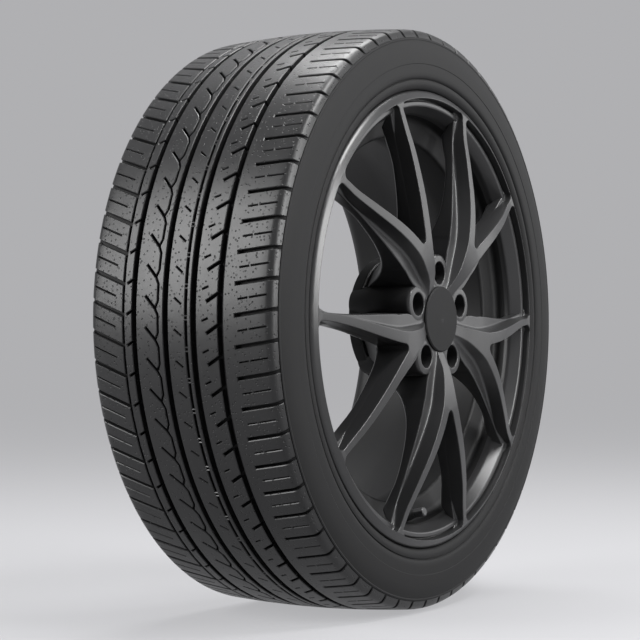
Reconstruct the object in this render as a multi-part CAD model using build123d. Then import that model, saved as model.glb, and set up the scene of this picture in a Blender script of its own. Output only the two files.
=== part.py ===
from build123d import *
import os
from math import cos, hypot, radians, sin, tan

# A low-profile car tyre fitted on an alloy wheel with five Y-shaped spokes, in millimetres.
# The axle lies along Y and +Z is up. The origin is the centre of the hub's mounting face,
# the street side faces -Y, and the car is on the +Y side.

# Rim: standard contour of an 18 inch by 8 inch wheel
rim_diameter = 462.0        # across the bead seats
rim_width = 203.2           # between the two flanges
wheel_offset = 48.0         # from the mounting face to the middle of the rim
flange_height = 17.3
flange_reach = 13.4         # from the bead's face out to the edge of the lip
flange_bevel = 5.6          # bevel of the flange that the tyre leans on
heel_bevel = 3.5            # bevel in the corner of the bead seat
seat_width = 21.0
seat_angle = 5.0
hump_height = 1.0
hump_run = 2.5              # along the axle, from the seat to the top of the hump
well_depth = 26.0
well_width = 36.0
well_lean = 12.0            # lean of the well's front wall, in degrees
shelf_depth = 7.0           # barrel behind the well, below the bead seat
shelf_run = 3.0             # along the axle, for each millimetre that the barrel rises from the well
rim_wall = 5.5
lip_width = 5.3             # raised edge of the street-side lip
lip_step = 1.8
lip_edge = 1.2              # bevel on the lip's outer edge
band_width = 12.0           # flat band inside the lip, which the arms run into
band_edge = 2.0             # bevel on the band's inner edge

# Hub
hub_bore_diameter = 57.1
hub_bore_length = 25.0
bore_chamfer = 1.5
pitch_circle = 100.0
bolt_count = 5
bolt_hole_diameter = 15.0
bolt_pocket_diameter = 24.5
bolt_seat_thickness = 18.0  # metal under the narrow end of each bolt's cone
bolt_cone_depth = 5.5
bolt_cone_angle = 30.0      # of the cone's side to its axis
boss_diameter = 37.0
hub_diameter = 84.0
hub_height = 76.0           # from the mounting face to the front of the bosses
pad_diameter = 132.0
pad_thickness = 14.0
core_pocket_depth = 36.0    # hollows in the back of the hub, between the bolts
core_pocket_diameter = 19.0
core_pocket_radius = 50.0   # from the axle to each hollow

# Spokes
spoke_count = 5
arm_spread = 18.0           # from a spoke's middle line to each arm's end, in degrees
arm_start = 6.3             # the same at the point where the arms part
arm_bend = 1.9              # how fast the arms swing out: 1 is even, more is nearer the hub
crotch_radius = 100.0       # where the two arms part
crotch_rounding = 2.2
arm_width_root = 13.0
arm_width_tip = 7.5
arm_flare = 6.0             # extra on each side where an arm runs into the band
arm_flare_length = 21.0
stem_width_outer = 25.0
stem_width_hub = 12.0
crown_rise = 23.0           # how far the spokes stand ahead of the lip
spoke_depth = 38.0          # front to back, where the arms part
ledge_drop = 13.0           # lower side ledges, below the spoke's face
ledge_width = 17.0
ledge_taper = 0.75          # 1 tapers evenly along the arm, less keeps its width for longer
ledge_inner = 1.5
ledge_start_radius = 60.0
ledge_end_radius = 200.0

# Tyre, with y measured from the middle of the tread and the street side negative
tyre_height = 87.6          # from the bead seat to the crown
sidewall_bulge = 13.9       # from the bead's face out to the widest point
crown_radius = 1200.0       # curve of the tread across its width
tread_width = 192.0         # between the rounded shoulders
shoulder_width = 11.0
shoulder_bevel = 4.6
shoulder_edge_drop = 14.1   # from the crown down to the edge at the top of the sidewall
ring_drop = 42.0            # from the crown down to the ring at the middle of the sidewall
recess_height = 11.4        # sunk band of the sidewall next to the rim, above the flange
recess_depth = 1.9
tread_thickness = 17.0
sidewall_thickness = 9.5
bead_clearance = 0.25       # between the tyre and the rim
toe_room = 1.0              # between the bead's toe and the rim's hump
groove_depth = 7.5
groove_lean = 0.8           # each groove wall leans in by this much
main_grooves = [(-51.0, 4.6), (-20.5, 6.4), (13.0, 6.0), (52.0, 5.8)]
thin_grooves = [(-11.8, 2.6), (65.5, 2.4)]
thin_groove_depth = 4.5
tread_pitches = 64
slot_width = 2.8
slot_depth = 5.5
slot_runout = 9.0           # a shoulder slot's floor falls by this much to its open end
# Cross slots of one pitch, between two (along, y) points; along is up on the -X side
street_slot = ((0.0, -68.0), (6.6, -115.5))
rib_slot = ((14.0, -36.0), (23.5, -52.0))
hook_slot = ((8.0, 26.0), (20.5, 37.5))
car_slot = ((2.0, 65.5), (21.0, 115.5))

# Centre cap
cap_diameter = 71.0
cap_thickness = 4.0
cap_dome = 0.6
cap_bevel = 1.2
cap_recess = 1.0
cap_clearance = 0.3
cap_bore_diameter = 60.0
cap_wall = 2.6
cap_skirt = 9.0
finger_count = 8
finger_length = 15.0
finger_gap = 5.0            # width of the slit between two fingers
barb_height = 1.1
barb_length = 4.0
ring_wire = 1.8

# Valve
valve_angle = 270.0         # around the axle, seen from the street side
valve_hole_diameter = 11.5
valve_seat_wall = 4.0
valve_spotface = 20.0
valve_bulb_diameter = 19.0
valve_bulb_length = 8.0
valve_body_diameter = 15.0
valve_neck_diameter = 10.0
valve_body_length = 16.5
valve_tube_diameter = 7.7
valve_tube_bore = 5.3
valve_tube_length = 26.0    # ahead of the rim's wall
valve_core_diameter = 4.9
valve_core_length = 16.0
valve_pin_diameter = 1.6
valve_cap_diameter = 10.0
valve_cap_length = 12.0
valve_cap_roof = 1.6
valve_seal_thickness = 1.2
valve_clearance = 0.1

# Places that follow from the sizes
rim_radius = rim_diameter / 2
flange_radius = rim_radius + flange_height
rim_front = wheel_offset - rim_width / 2
rim_back = wheel_offset + rim_width / 2
lip_front = rim_front - flange_reach
lip_back = rim_back + flange_reach
seat_drop = seat_width * tan(radians(seat_angle))
well_radius = rim_radius - well_depth
shelf_radius = rim_radius - shelf_depth
well_top = rim_radius - seat_drop - hump_height
well_front = rim_front + seat_width + 2.5 * hump_run
well_run = (well_top - well_radius) * tan(radians(well_lean))
tyre_radius = rim_radius + tyre_height
hub_front = -hub_height
bolt_circle_radius = pitch_circle / 2
cap_seat = hub_front + cap_recess
finger_end = cap_seat + cap_skirt + finger_length
spoke_crown = lip_front - crown_rise
arm_end_radius = rim_radius + 5.0
spoke_root = hub_diameter / 2 - 14.0
full_turn = 360.0


def turned(points):
    """Solid turned about the axle from (radius, y) points."""
    return revolve(make_face(Polyline(*points, close=True)), Axis.Y)


def rod(diameter, start, end):
    """Round bar on the axle, from y = start to y = end."""
    return Pos(0, (start + end) / 2, 0) * Rot(90, 0, 0) * Cylinder(diameter / 2, abs(end - start))


def around(shape, angle):
    """Turn a shape about the axle, counter-clockwise seen from the street side."""
    return Rot(0, -angle, 0) * shape


def bead_line(side, room, seat_length):
    """Flange, bead face and seat of the street (-1) or car (1) side, moved off the rim by some room."""
    face = rim_width / 2 - room
    slope = tan(radians(seat_angle))
    line = [
        (flange_radius, face + flange_bevel),
        (flange_radius - flange_bevel, face),
        (rim_radius + heel_bevel, face),
        (rim_radius - heel_bevel * slope, face - heel_bevel),
        (rim_radius - seat_length * slope, face - seat_length),
    ]
    return [(radius + room, wheel_offset + side * y) for radius, y in line]


def rim_barrel():
    """Barrel with two flanges, bead seats with humps, drop well and the stepped lip."""
    wall_y = rim_wall / cos(radians(well_lean))
    well_back = well_front + well_run + well_width
    shelf_front = well_back + (shelf_radius - well_radius) * shelf_run
    seat_end = rim_radius - seat_drop
    hump = seat_end + hump_height
    under_seat = seat_end - rim_wall
    lip_inside = flange_radius - lip_width
    band_inside = lip_inside - band_width
    band_front = lip_front + lip_step
    outside = [
        (flange_radius - lip_edge, lip_front),
        (flange_radius, lip_front + lip_edge),
        *bead_line(-1, 0.0, seat_width),
        (hump, rim_front + seat_width + hump_run),
        (well_top, well_front),
        (well_radius, well_front + well_run),
        (well_radius, well_back),
        (shelf_radius, shelf_front),
        (well_top, rim_back - seat_width - 3 * hump_run),
        (hump, rim_back - seat_width - hump_run),
        *reversed(bead_line(1, 0.0, seat_width)),
        (flange_radius, lip_back - lip_edge),
        (flange_radius - lip_edge, lip_back),
    ]
    inside = [
        (lip_inside, lip_back),
        (rim_radius + lip_edge, lip_back - flange_bevel),
        (under_seat, rim_back - lip_edge),
        (under_seat - hump_height, rim_back - seat_width - hump_run),
        (shelf_radius - rim_wall, shelf_front),
        (well_radius - rim_wall, well_back),
        (well_radius - rim_wall, well_front + well_run - wall_y),
        (well_top - rim_wall, well_front - wall_y),
        (under_seat, rim_front + heel_bevel),
        (band_inside - band_edge, band_front + band_edge),
        (band_inside, band_front),
        (lip_inside - 0.7 * lip_step, band_front),
        (lip_inside, lip_front),
    ]
    return turned(outside + inside)


def arm_share(radius):
    """1 where the arms part, falling to 0 at the rim."""
    return max(0.0, (arm_end_radius - radius) / (arm_end_radius - crotch_radius))


def arm_middle(radius):
    """Point of an arm's middle line at a radius."""
    angle = radians(arm_spread - (arm_spread - arm_start) * arm_share(radius) ** arm_bend)
    return radius * cos(angle), radius * sin(angle)


def arm_point(radius, side):
    """Point beside an arm's middle line, square to it by side millimetres."""
    x, y = arm_middle(radius)
    next_x, next_y = arm_middle(radius + 1.0)
    length = hypot(next_x - x, next_y - y)
    return x - (next_y - y) / length * side, y + (next_x - x) / length * side


def arm_half_width(radius):
    """Half of an arm's width, slimmer towards the rim and flared where it meets the band."""
    flare = max(0.0, 1 - (arm_end_radius + 5.0 - radius) / arm_flare_length)
    slim = arm_width_tip + (arm_width_root - arm_width_tip) * arm_share(radius)
    return slim / 2 + arm_flare * flare**2


def ledge_at(radius):
    """Width of the side ledge, tapering out along the arm."""
    taper = (ledge_end_radius - radius) / (ledge_end_radius - ledge_start_radius)
    return ledge_width * max(0.0, taper) ** ledge_taper


def spoke_plan(outer_extra, inner_extra):
    """Outline of one Y along +X, let out on its outer sides by a function and between its arms."""
    stem_end = crotch_radius - stem_width_outer * 0.75
    span = arm_end_radius + 5.0 - crotch_radius
    stations = [crotch_radius + share * (span - arm_flare_length) for share in (0.1, 0.35, 0.7, 1.0)]
    stations += [arm_end_radius + 5.0 - share * arm_flare_length for share in (0.4, 0.0)]
    root_side = stem_width_hub / 2 + outer_extra(ledge_start_radius)
    root = (spoke_root, root_side)
    stem = [(hub_diameter / 2, root_side), (stem_end, stem_width_outer / 2 + outer_extra(stem_end))]
    outer = [arm_point(at, arm_half_width(at) + outer_extra(at)) for at in stations]
    inner = [arm_point(at, -arm_half_width(at) - inner_extra) for at in stations]
    tip = crotch_radius + inner_extra
    crotch_side = (tip + 0.7 * crotch_rounding, 1.5 * crotch_rounding)
    crotch_end = (tip, 0.6 * crotch_rounding)
    half = [
        Line(root, stem[0]),
        Spline(*stem, *outer),
        Line(outer[-1], inner[-1]),
        Spline(*reversed(inner), crotch_side),
        Line(crotch_side, crotch_end),
    ]
    mirrored = [mirror(edge, Plane.XZ) for edge in half]
    closing = [Line(point, (point[0], -point[1])) for point in (crotch_end, root)]
    return Plane.XZ * make_face(half + mirrored + closing)


def spoke_back():
    """Back of the spokes from the hub's pad out to the barrel, as (radius, y) points."""
    back = spoke_crown + spoke_depth
    return [
        (core_pocket_radius + 0.4 * core_pocket_diameter, 0.7 * -pad_thickness),
        (crotch_radius - 12.0, back + 10.0),
        (crotch_radius + 20.0, back - 4.0),
        (crotch_radius + 75.0, back - 3.0),
        (rim_radius - rim_wall, rim_front + 2 * rim_wall),
    ]


def spoke_front():
    """Face of the spokes: highest where the arms part, running out into the lip."""
    return [
        (spoke_root, hub_front + 2.0 * cap_recess),
        (crotch_radius - 30.0, spoke_crown + 2.3),
        (crotch_radius, spoke_crown),
        (crotch_radius + 40.0, spoke_crown + 0.10 * crown_rise),
        (crotch_radius + 85.0, spoke_crown + 0.46 * crown_rise),
        (rim_radius - 3.0, spoke_crown + 0.97 * crown_rise),
        (flange_radius - lip_width - 3.0, lip_front + 1.3 * lip_step),
    ]


def ledge_front():
    """Face of the lower side ledges, level with the bolt bosses at the hub."""
    ledge = spoke_crown + ledge_drop
    return [
        (spoke_root, hub_front),
        (bolt_circle_radius + boss_diameter / 2, hub_front + 0.5),
        (crotch_radius + 10.0, ledge + 2.0),
        (crotch_radius + 75.0, ledge + 0.5 * crown_rise),
        (rim_radius - rim_wall, rim_front),
    ]


def spoke_envelope(front, outer_corners):
    """Ring-shaped space between a spoke's face and its back, kept inside the rim's wall."""
    back = spoke_back()
    outline = [
        Spline(*front),
        Polyline(front[-1], *outer_corners, back[-1]),
        Spline(*reversed(back)),
        Polyline(back[0], (spoke_root, -pad_thickness / 2), front[0]),
    ]
    return around(revolve(make_face(outline), Axis.Y), full_turn / 2)


def spoke():
    """One Y-shaped spoke: a narrow raised face over a wider body with side ledges."""
    reach = hub_height + crown_rise
    raised = extrude(spoke_plan(lambda radius: 0.0, 0.0), reach, both=True)
    body = extrude(spoke_plan(ledge_at, ledge_inner), reach, both=True)
    lip_corners = [
        (rim_radius + 0.5 * flange_height, rim_front - 0.6 * flange_reach),
        (rim_radius - 0.8 * rim_wall, rim_front + 0.5 * rim_wall),
    ]
    raised = raised & spoke_envelope(spoke_front(), lip_corners)
    body = body & spoke_envelope(ledge_front(), [])
    return raised + body


def bolt_pocket():
    """Cutter for one bolt: through hole, cone and the deep round pocket ahead of it."""
    cone_top = -bolt_seat_thickness - bolt_cone_depth
    hole = bolt_hole_diameter / 2
    cone = hole + bolt_cone_depth * tan(radians(bolt_cone_angle))
    pocket = bolt_pocket_diameter / 2
    far_front = hub_front - crown_rise
    return turned([
        (0, 1), (hole, 1), (hole, -bolt_seat_thickness), (cone, cone_top),
        (pocket, cone_top), (pocket, far_front), (0, far_front),
    ])


def hub_core():
    """Cutter along the axle: centring bore, cap bore with its clip groove, and the cap's recess."""
    bore = hub_bore_diameter / 2
    cap_bore = cap_bore_diameter / 2
    clip = cap_bore + barb_height + cap_clearance
    clip_back = finger_end + barb_height
    clip_front = finger_end - barb_length - cap_clearance
    recess = cap_diameter / 2 + cap_clearance
    far_front = hub_front - crown_rise
    return turned([
        (0, 1), (bore + bore_chamfer + 1, 1), (bore, -bore_chamfer), (bore, -hub_bore_length),
        (cap_bore, -hub_bore_length - abs(cap_bore - bore)), (cap_bore, clip_back),
        (clip, clip_back - barb_height), (clip, clip_front), (cap_bore, clip_front), (cap_bore, cap_seat),
        (recess, cap_seat), (recess, far_front), (0, far_front),
    ])


def valve_place():
    """Frame on the street side of the well's front wall: its Z runs out towards the street."""
    radius = well_radius + valve_spotface / 2 + valve_clearance
    y = well_front + (well_top - radius) / (well_top - well_radius) * well_run
    y -= rim_wall / cos(radians(well_lean))
    lean = radians(well_lean)
    out_x, out_z = cos(radians(valve_angle)), sin(radians(valve_angle))
    axis = (-sin(lean) * out_x, -cos(lean), -sin(lean) * out_z)
    return Plane(origin=(radius * out_x, y, radius * out_z), z_dir=axis)


def valve_cuts():
    """Hole through the rim, with a flat seat on both of its sides."""
    seat_diameter = valve_body_diameter + 1.5
    hole = Cylinder(valve_hole_diameter / 2, 4 * rim_wall)
    outside = Cylinder(seat_diameter / 2, 2 * rim_wall, align=(Align.CENTER, Align.CENTER, Align.MIN))
    inside = Cylinder(valve_spotface / 2, rim_wall, align=(Align.CENTER, Align.CENTER, Align.MAX))
    return [valve_place() * cut for cut in (hole, outside, Pos(0, 0, -valve_seat_wall) * inside)]


def alloy_wheel():
    """The whole casting, with its machined holes."""
    step = full_turn / spoke_count
    bolt_step = full_turn / bolt_count
    bolt_angles = [valve_angle + (k + 0.5) * bolt_step for k in range(bolt_count)]
    spoke_angles = [valve_angle + k * step for k in range(spoke_count)]
    wheel = around(rim_barrel(), valve_angle + step / 2)
    wheel += [rod(hub_diameter, 0, hub_front), rod(pad_diameter, 0, -pad_thickness)]
    boss = Pos(bolt_circle_radius, 0, 0) * rod(boss_diameter, 0, hub_front)
    wheel += [around(boss, angle) for angle in bolt_angles]
    one_spoke = spoke()
    wheel += [around(one_spoke, angle) for angle in spoke_angles]
    pocket = Pos(bolt_circle_radius, 0, 0) * bolt_pocket()
    core = Pos(core_pocket_radius, 0, 0) * rod(core_pocket_diameter, 1, -core_pocket_depth)
    cuts = [hub_core(), *valve_cuts()]
    cuts += [around(pocket, angle) for angle in bolt_angles]
    cuts += [around(core, angle) for angle in spoke_angles]
    return wheel - cuts


def crown(y):
    """Radius of the tread at a distance y from its middle."""
    return tyre_radius - y * y / (2 * crown_radius)


def tyre_side(side):
    """Half of the section as (radius, y) points, from the tread's edge round the bead to the lining."""
    half = rim_width / 2 + sidewall_bulge
    edge = tread_width / 2
    shoulder = edge + shoulder_width
    shoulder_edge = (tyre_radius - shoulder_edge_drop, half - 4.7)
    lean = (shoulder_edge[1] - shoulder) / (crown(shoulder) - shoulder_edge[0])
    recess_top = flange_radius + recess_height
    recess = half - recess_depth
    ring = tyre_radius - ring_drop
    lining = half - sidewall_thickness
    bead_toe = rim_width / 2 - seat_width
    outer = [
        (crown(edge), edge),
        (crown(shoulder - shoulder_bevel), shoulder - shoulder_bevel),
        (crown(shoulder) - shoulder_bevel, shoulder + shoulder_bevel * lean),
        shoulder_edge,
        (ring, half - 0.4),
        (recess_top + 0.5 * recess_depth, half),
        (recess_top - 0.5 * recess_depth, recess),
        (flange_radius + 1.5 * recess_depth, recess),
        (flange_radius + bead_clearance, recess - 1.2 * recess_depth),
    ]
    inner = [
        (rim_radius + 14.0, bead_toe + 8.0),
        (recess_top + 2.6, lining - 2.0),
        (ring + 10.0, lining - 2.0),
        (tyre_radius - tread_thickness - 6.0, edge - 4.0),
        (crown(edge - 16.0) - tread_thickness, edge - 16.0),
    ]
    outer, inner = [[(radius, wheel_offset + side * y) for radius, y in line] for line in (outer, inner)]
    return outer + bead_line(side, bead_clearance, seat_width - toe_room) + inner


def groove_cutter(y, width, depth):
    """Ring that cuts one groove round the tread."""
    floor = crown(y) - depth
    top = tyre_radius + 1.0
    middle = wheel_offset + y
    return turned([
        (floor, middle - width / 2 + groove_lean), (top, middle - width / 2),
        (top, middle + width / 2), (floor, middle + width / 2 - groove_lean),
    ])


def slot_cutter(start, end, runout):
    """Straight slot across the top of the tread, with its floor falling by runout to its end."""
    floor = crown(start[1]) - slot_depth
    first = Vector(start[0], wheel_offset + start[1], floor)
    last = Vector(end[0], wheel_offset + end[1], floor - runout)
    along = last - first
    up = along.cross(Vector(-along.Y, along.X, 0))
    box = Box(along.length, slot_width, 5 * slot_depth, align=(Align.CENTER, Align.CENTER, Align.MIN))
    return Plane(origin=(first + last) * 0.5, x_dir=along, z_dir=up) * box


def tread_slots():
    """Cutters for one pitch of the tread's cross slots, at the top of the tyre."""
    shoulders = [slot_cutter(*slot, slot_runout) for slot in (street_slot, car_slot)]
    ribs = [slot_cutter(*slot, 0.0) for slot in (rib_slot, hook_slot)]
    return shoulders + ribs


def tyre():
    """Hollow moulded ring with its beads, sidewall rings, tread grooves and cross slots."""
    street, car = tyre_side(-1), tyre_side(1)
    tread = ThreePointArc(street[0], (tyre_radius, wheel_offset), car[0])
    lining = ThreePointArc(street[-1], (tyre_radius - tread_thickness, wheel_offset), car[-1])
    body = revolve(make_face([tread, Polyline(*car), lining, Polyline(*street)]), Axis.Y)
    body -= [groove_cutter(y, width, groove_depth) for y, width in main_grooves]
    body -= [groove_cutter(y, width, thin_groove_depth) for y, width in thin_grooves]
    step = full_turn / tread_pitches
    return body - [around(slot, (k + 0.5) * step) for slot in tread_slots() for k in range(tread_pitches)]


def centre_cap():
    """Plain round cap with a skirt of clip fingers."""
    face = cap_seat - cap_thickness
    skirt = cap_bore_diameter / 2 - cap_clearance
    inside = skirt - cap_wall
    barb = skirt + barb_height
    barb_start = finger_end - barb_length
    notch = inside + ring_wire / 3
    notch_start = barb_start - ring_wire - 2 * cap_clearance
    rim = cap_diameter / 2
    body = turned([
        (0, face - cap_dome), (rim - cap_bevel, face), (rim, face + cap_bevel), (rim, cap_seat),
        (skirt, cap_seat), (skirt, barb_start), (barb, barb_start), (barb, finger_end - barb_length / 2),
        (skirt, finger_end), (inside, finger_end), (inside, barb_start), (notch, barb_start),
        (notch, notch_start), (inside, notch_start), (inside, cap_seat), (0, cap_seat),
    ])
    slit = Pos(skirt, finger_end, 0) * Box(4 * cap_wall, 2 * finger_length, finger_gap)
    return body - [around(slit, k * full_turn / finger_count) for k in range(finger_count)]


def cap_spring_ring():
    """Wire ring in the fingers' notch."""
    notch = cap_bore_diameter / 2 - cap_clearance - cap_wall + ring_wire / 3
    ring_y = finger_end - barb_length - ring_wire / 2 - cap_clearance
    return Pos(0, ring_y, 0) * Rot(90, 0, 0) * Torus(notch - ring_wire / 2 - 0.05, ring_wire / 2)


def on_valve(points):
    """Solid turned about the valve's axis from (radius, distance out of the rim) points."""
    return valve_place() * revolve(make_face(Plane.XZ * Polyline(*points, close=True)), Axis.Z)


def valve_stem():
    """Snap-in rubber body: bulb inside the tyre, neck in the hole, tapering body outside."""
    bore = valve_tube_diameter / 2 + valve_clearance
    neck = valve_hole_diameter / 2 - valve_clearance
    back = -valve_seat_wall - valve_clearance
    return on_valve([
        (bore, back - valve_bulb_length), (neck, back - valve_bulb_length),
        (valve_bulb_diameter / 2, back - valve_bulb_length / 3), (valve_bulb_diameter / 2, back),
        (neck, back), (neck, valve_clearance), (valve_body_diameter / 2, valve_clearance),
        (valve_body_diameter / 2, valve_body_length / 4), (valve_neck_diameter / 2, valve_body_length),
        (bore, valve_body_length),
    ])


def valve_tube():
    """Brass tube moulded into the rubber."""
    outer, bore = valve_tube_diameter / 2, valve_tube_bore / 2
    start = -valve_seat_wall - valve_bulb_length
    return on_valve([(bore, start), (outer, start), (outer, valve_tube_length), (bore, valve_tube_length)])


def valve_core():
    """Brass core in the tube, with its pin."""
    top = valve_tube_length - 2.0
    pin = valve_pin_diameter / 2
    return on_valve([
        (0, top - valve_core_length), (valve_core_diameter / 2, top - valve_core_length),
        (valve_core_diameter / 2, top), (pin, top), (pin, valve_tube_length), (0, valve_tube_length),
    ])


def valve_cap():
    """Screw cap over the end of the tube."""
    roof = valve_tube_length + 2 * valve_clearance + valve_seal_thickness
    end = roof + valve_cap_roof
    bore = valve_tube_diameter / 2 + valve_clearance
    outer = valve_cap_diameter / 2
    chamfer = 1.0
    return on_valve([
        (bore, end - valve_cap_length), (outer, end - valve_cap_length), (outer, end - chamfer),
        (outer - chamfer, end), (0, end), (0, roof), (bore, roof),
    ])


def valve_cap_seal():
    """Rubber disc between the tube's end and the cap's roof."""
    start = valve_tube_length + valve_clearance
    return valve_place() * Pos(0, 0, start) * Cylinder(
        valve_tube_diameter / 2, valve_seal_thickness, align=(Align.CENTER, Align.CENTER, Align.MIN)
    )


os.makedirs("parts", exist_ok=True)
pieces = {
    "tyre": tyre,
    "alloy_wheel": alloy_wheel,
    "centre_cap": centre_cap,
    "cap_spring_ring": cap_spring_ring,
    "valve_stem": valve_stem,
    "valve_tube": valve_tube,
    "valve_core": valve_core,
    "valve_cap": valve_cap,
    "valve_cap_seal": valve_cap_seal,
}
for name, make in pieces.items():
    export_step(make(), f"parts/{name}.step")
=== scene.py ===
# %% [markdown]
# A low-profile car tyre on a dark alloy wheel, dressed for a studio picture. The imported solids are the
# fixed frame: they give every place and size, and each piece below is modelled in the same frame, in
# metres. Flat drawings are easier to read in millimetres, so they are drawn that way and turned into
# metres at the end.

# %% Load the frame
from math import cos, pi, radians, sin

import bmesh
import bpy
from mathutils import Matrix, Vector


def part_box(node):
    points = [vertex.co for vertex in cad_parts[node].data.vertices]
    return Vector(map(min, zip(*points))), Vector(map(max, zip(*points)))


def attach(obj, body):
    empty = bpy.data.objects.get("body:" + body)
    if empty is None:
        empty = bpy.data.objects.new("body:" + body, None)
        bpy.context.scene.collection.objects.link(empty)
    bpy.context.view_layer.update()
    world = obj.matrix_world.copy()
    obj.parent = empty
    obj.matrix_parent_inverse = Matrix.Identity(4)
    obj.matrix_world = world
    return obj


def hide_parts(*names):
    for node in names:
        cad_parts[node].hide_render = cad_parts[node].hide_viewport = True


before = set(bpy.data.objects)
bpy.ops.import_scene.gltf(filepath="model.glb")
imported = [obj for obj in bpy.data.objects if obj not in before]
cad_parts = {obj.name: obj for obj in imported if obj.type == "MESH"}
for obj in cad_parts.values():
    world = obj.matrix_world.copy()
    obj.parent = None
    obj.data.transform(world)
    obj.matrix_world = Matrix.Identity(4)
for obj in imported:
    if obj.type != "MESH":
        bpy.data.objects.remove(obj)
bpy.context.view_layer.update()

MM = 0.001
tyre_low, tyre_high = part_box("tyre")
tyre_radius = (tyre_high.z - tyre_low.z) / 2 / MM
rim_middle = (tyre_low.y + tyre_high.y) / 2 / MM
print("tyre radius", round(tyre_radius, 2), "mm, middle of the rim at y", round(rim_middle, 2), "mm")

# %% [markdown]
# Every finish starts the same way: a material whose Principled shader gets its constant values, and nodes
# for what changes over the surface. They could be placed by hand in the shader editor, but a few helpers
# keep each finish short. Object coordinates hold a pattern still on its piece, because all pieces sit at
# the origin.

# %% Helpers for materials
COOL = 1.03


def new_material(name, **sockets):
    """A material with its shader's constant sockets set."""
    material = bpy.data.materials.new(name)
    material.use_nodes = True
    shader = material.node_tree.nodes["Principled BSDF"]
    for socket, value in sockets.items():
        shader.inputs[socket.replace("_", " ")].default_value = value
    return material, shader


def add_node(tree, kind, **settings):
    """A node with its settings and socket values."""
    node = tree.nodes.new(kind)
    for name, value in settings.items():
        if hasattr(node, name):
            setattr(node, name, value)
        else:
            node.inputs[name.replace("_", " ")].default_value = value
    return node


def join(tree, *pairs):
    """Link each (output, input) pair of sockets."""
    for output, into in pairs:
        tree.links.new(output, into)


def grey(value):
    """A grey with a trace of blue, as black rubber and black paint have."""
    return (value, value, value * COOL, 1.0)


print("a middle grey is", grey(0.5))

# %% [markdown]
# Moulded rubber and cast paint are never quite even: their tint is cloudy and a lamp shows a fine grain.
# Each finish could have noise of its own, but one shared group does it for all, so that a finish only says
# how dark, how coarse and how rough it is. The group puts out what changes over the surface, and the shader
# stays in the material.

# %% Shared uneven surface
surface_inputs = [("Dark", "Color"), ("Light", "Color"), ("Cloud Scale", "Float"), ("Grain Scale", "Float"),
                  ("Roughness", "Float"), ("Spread", "Float")]
surface_outputs = [("Color", "Color"), ("Roughness", "Float"), ("Grain", "Float")]


def uneven_surface():
    """Group: two colours mixed by soft clouds, a roughness around a middle value, and grain height."""
    tree = bpy.data.node_groups.new("uneven_surface", "ShaderNodeTree")
    for direction, sockets in (("INPUT", surface_inputs), ("OUTPUT", surface_outputs)):
        for name, kind in sockets:
            tree.interface.new_socket(name, in_out=direction, socket_type="NodeSocket" + kind)
    into = tree.nodes.new("NodeGroupInput")
    out = tree.nodes.new("NodeGroupOutput")
    place = tree.nodes.new("ShaderNodeTexCoord")
    clouds = add_node(tree, "ShaderNodeTexNoise", Detail=4.0, Roughness=0.6)
    grain = add_node(tree, "ShaderNodeTexNoise", Detail=2.0, Roughness=0.5)
    tint = add_node(tree, "ShaderNodeMix", data_type="RGBA")
    centre = add_node(tree, "ShaderNodeMath", operation="SUBTRACT")
    centre.inputs[1].default_value = 0.5
    spread = add_node(tree, "ShaderNodeMath", operation="MULTIPLY_ADD")
    for noise, scale in ((clouds, "Cloud Scale"), (grain, "Grain Scale")):
        join(tree,
             (place.outputs["Object"], noise.inputs["Vector"]),
             (into.outputs[scale], noise.inputs["Scale"]))
    join(tree,
         (clouds.outputs["Fac"], tint.inputs["Factor"]),
         (into.outputs["Dark"], tint.inputs["A"]),
         (into.outputs["Light"], tint.inputs["B"]),
         (tint.outputs["Result"], out.inputs["Color"]))
    join(tree,
         (clouds.outputs["Fac"], centre.inputs[0]),
         (centre.outputs[0], spread.inputs[0]),
         (into.outputs["Spread"], spread.inputs[1]),
         (into.outputs["Roughness"], spread.inputs[2]),
         (spread.outputs[0], out.inputs["Roughness"]),
         (grain.outputs["Fac"], out.inputs["Grain"]))
    return tree


uneven = uneven_surface()
print("shared group with", len(uneven.nodes), "nodes")

# %% [markdown]
# Tyre rubber is black with a dull sheen. The tread, which the mould presses hardest, is a little glossier
# than the sidewall. Both take their clouds and their grain from the group, with a grain so fine that it
# only softens the highlights.

# %% Tyre rubber
grain_depth = 0.2 * MM


def uneven_material(name, dark, light, clouds, grain, roughness, spread, bump, **sockets):
    """A material whose colour, roughness and fine bump come from the shared group."""
    material, shader = new_material(name, **sockets)
    tree = material.node_tree
    group = add_node(tree, "ShaderNodeGroup", node_tree=uneven)
    for socket, value in (("Dark", dark), ("Light", light), ("Cloud Scale", clouds), ("Grain Scale", grain),
                          ("Roughness", roughness), ("Spread", spread)):
        group.inputs[socket].default_value = value
    relief = add_node(tree, "ShaderNodeBump", Strength=bump, Distance=grain_depth)
    join(tree,
         (group.outputs["Color"], shader.inputs["Base Color"]),
         (group.outputs["Roughness"], shader.inputs["Roughness"]),
         (group.outputs["Grain"], relief.inputs["Height"]),
         (relief.outputs["Normal"], shader.inputs["Normal"]))
    return material


tread_rubber = uneven_material("tread_rubber", grey(0.011), grey(0.017), clouds=60.0, grain=900.0,
                               roughness=0.36, spread=0.1, bump=0.2, Specular_IOR_Level=0.36)
wall_rubber = uneven_material("wall_rubber", grey(0.009), grey(0.013), clouds=30.0, grain=1400.0,
                              roughness=0.56, spread=0.08, bump=0.1, Specular_IOR_Level=0.14)
print("materials so far:", len(bpy.data.materials))

# %% [markdown]
# A mould leaves small round pits all over a tread. As holes in the mesh they would be many thousands of
# faces, so they are the cells of a Voronoi texture: close to the middle of a cell the rubber is darker, as
# painted shade in the pit, and a second bump, on top of the grain, goes down.

# %% Pits in the tread
pits_per_metre = 240.0
pit_edge, pit_middle = 0.25, 0.13
# The pits' darker colour is painted shade.
pit_painted_shade = grey(0.25)
pit_depth, pit_strength = 0.6 * MM, 0.8


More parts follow.
